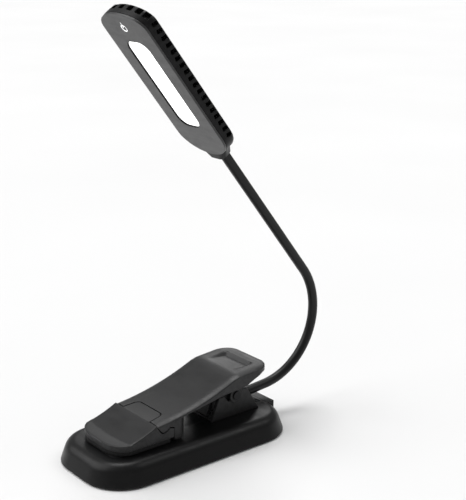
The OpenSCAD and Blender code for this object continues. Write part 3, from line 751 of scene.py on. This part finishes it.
xs = steps((nose_x, nose_x + 0.6, 0.1), (nose_x + 0.6, nose_x + 2, 0.3), (nose_x + 2, -36, 0.55),
           (-36, split_x, 1.0), (split_x + 0.02, hook_x - 0.25, 0.6))
nose = sheet_solid("nose_skin", xs, nose_half, nose_inset, nose_top, lambda x: nose_z,
                   radius=1.3, fall=0.18, lip=0.15, inner=44)
add("nose_skin", nose, "lever", LEVER, ("jaw_nose",), 22)


def tab_inset(x, y):
    """How far a point lies inside the tab's outline."""
    return min(tab_half(x) - abs(y), tab_x - x)


def tab_top(x, y):
    """Flush with the lever's sweep, and just inside the nose in front of the split."""
    return sweep_z(x) if x >= split_x else nose_top(x, y) - 0.06


xs = steps((split_x - 0.5, split_x - 0.01, 0.3), (split_x, tab_corner, 0.8),
           (tab_corner, tab_x - 0.5, 0.3), (tab_x - 0.5, tab_x, 0.06))
tab = sheet_solid("nose_tab", xs, tab_half, tab_inset, tab_top, lambda x: sweep_z(x) - 1.2,
                  radius=0.5, fall=0.0, lip=0.1, inner=30)
add("nose_tab", tab, "lever", LEVER, (), 26)

pad_low, pad_high = box_mm("upper_jaw_pad")
pad = []
for z, inset in ((pad_low.z, 0.75), (pad_low.z + 0.35, 0.45), (pad_high.z - 0.3, 0.45), (pad_high.z, 0.5)):
    ring = [(pad_high.x - inset * 0.3, lever_w / 2 - inset)]
    ring += [nose_corner(inset, 6 * i) for i in range(15, -1, -1)]
    ring += [(x, -y) for x, y in reversed(ring)]
    pad.append([(x, y, z) for x, y in ring])
add("upper_pad", from_rings("upper_pad", pad), "lever", PAD, ("upper_jaw_pad",), 40)


# ---------------------------------------------------------------- gooseneck

neck_r = 2.6
rise = math.radians(4.6)        # slope of the gooseneck where it leaves the base
bend_r = 37.7
bend_a = math.radians(123)
bend_l = bend_r * bend_a
straight_l = 91.7               # its straight run, from the bend to the head
bend_from = Vector(joints["neck_side_1"]["pos_m"]) / MM
bend_c = bend_from + Vector((-math.sin(rise), 0, math.cos(rise))) * bend_r
first_joint = -10.8             # place of the first joint, ahead of the bend
start_at = -19.0                # its hidden end in the base
end_at = bend_l + straight_l + 10.0    # its hidden end in the head
tube_sides, tube_step = 40, 0.5


def neck_point(s):
    """The gooseneck's centre line and direction, s mm past the start of its bend."""
    if s <= 0:
        d = Vector((math.cos(rise), 0, math.sin(rise)))
        return bend_from + d * s, d
    a = rise + min(s, bend_l) / bend_r
    d = Vector((math.cos(a), 0, math.sin(a)))
    p = bend_c + Vector((math.sin(a), 0, -math.cos(a))) * bend_r
    return p + d * max(0, s - bend_l), d


place = [first_joint, 0.0] + [bend_l * i / 4 for i in range(1, 5)]
place += [bend_l + straight_l * i / 5 for i in range(1, 5)]
middle = [start_at] + [(a + b) / 2 for a, b in zip(place, place[1:])] + [end_at]
end_nodes = {0: ("neck_root",), 9: ("neck_top", "neck_link_9")}
across = Vector((0, 1, 0))
for k, at in enumerate(place):
    a, b = middle[k], middle[k + 1]
    count = max(8, round((b - a) / tube_step))
    rings = []
    for i in range(count + 1):
        p, d = neck_point(a + (b - a) * i / count)
        over = d.cross(across)
        rings.append([p + across * (neck_r * math.cos(t)) + over * (neck_r * math.sin(t))
                      for t in (2 * math.pi * q / tube_sides for q in range(tube_sides))])
    tube = from_rings(f"sleeve_{k}", rings, False)
    replaced = end_nodes.get(k, (f"neck_link_{k}",))
    obj = add(f"sleeve_{k}", tube, None, SLEEVE, replaced, 60)
    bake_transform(obj)


# ---------------------------------------------------------------- head

dress("head_shell", "head", HEAD, 0.28, 3, 33)
dress("face_plate", "head", FACE, 0.22, 3, 40)
dress("diffuser", "head", GLOW, 0.1, 2, 40)


window_l, window_w, window_r = 54.4, 17.2, 6
window_up = 50     # from the gooseneck's end up the head to the window's middle
face_out = 5.8     # from the gooseneck's axis out to the face

turn = rise + bend_a
up = Vector((math.cos(turn), 0, math.sin(turn)))
outward = Vector((-math.sin(turn), 0, math.cos(turn)))
window_at = neck_point(bend_l + straight_l)[0] + up * window_up + outward * face_out


def head_point(x, y, z):
    """A point in the head's own axes: x up the head from the window's middle, z out of its face."""
    return window_at + up * x + Vector((0, y, 0)) + outward * z


# a thin near-black band over the window's wall, down to the diffuser: painted shade in the window's recess
shade_band = []
for z, inset in ((-0.92, 0.0), (-0.92, 0.12), (-0.08, 0.12), (-0.03, 0.07), (-0.03, 0.0)):
    outline = rounded_ring(window_l - 2 * inset, window_w - 2 * inset, window_r - inset, 0, 12)
    shade_band.append([head_point(x, y, z) for x, y, _ in outline])
shade_band.append(shade_band[0])
add("window_recess_shade", from_rings("window_recess_shade", shade_band, False), "head", RECESS_SHADE, (), 40)
repaint(WHITE, "white_plastic", "light_frame", "led_board")
repaint(CHIP, "led_chips", "led_chips")
repaint(ICON, "power_icon", "power_icon")
repaint(STEEL, "steel", "neck_clamp")


# ---------------------------------------------------------------- floor and light

floor_half = 6    # in metres
floor = bpy.data.objects.new("floor", bpy.data.meshes.new("floor"))
scene.collection.objects.link(floor)
floor.data.from_pydata([(x * floor_half, y * floor_half, 0) for x, y in ((-1, -1), (1, -1), (1, 1), (-1, 1))],
                       [], [(0, 1, 2, 3)])
mat, tree, shader = material("floor", Roughness=1.0, **{"Specular_IOR_Level": 0.0})
tint = blend_colours(tree, spread(tree, noise(tree, 3, 2), 0, 1), (0.75, 0.75, 0.75), (0.77, 0.77, 0.77))
tree.links.new(tint, shader.inputs["Base Color"])
floor.data.materials.append(mat)

world = bpy.data.worlds.new("studio")
scene.world = world
world.use_nodes = True
world.node_tree.nodes["Background"].inputs["Color"].default_value = (1, 1, 1, 1)
world.node_tree.nodes["Background"].inputs["Strength"].default_value = 0.35


def sun(name, direction, angle, strength):
    """A sun that shines from a direction, softened over an angle in degrees."""
    light = bpy.data.lights.new(name, "SUN")
    light.angle = math.radians(angle)
    light.energy = strength
    obj = bpy.data.objects.new(name, light)
    scene.collection.objects.link(obj)
    obj.rotation_euler = Vector(direction).to_track_quat("Z", "Y").to_euler()


sun("key", (-0.55, 0.5, 0.67), 55, 2.0)
sun("top", (0.2, 0.3, 0.93), 24, 1.3)
sun("back", (0.6, 0.65, 0.45), 24, 0.3)
sun("side", (0.6, -0.3, 0.75), 25, 0.4)
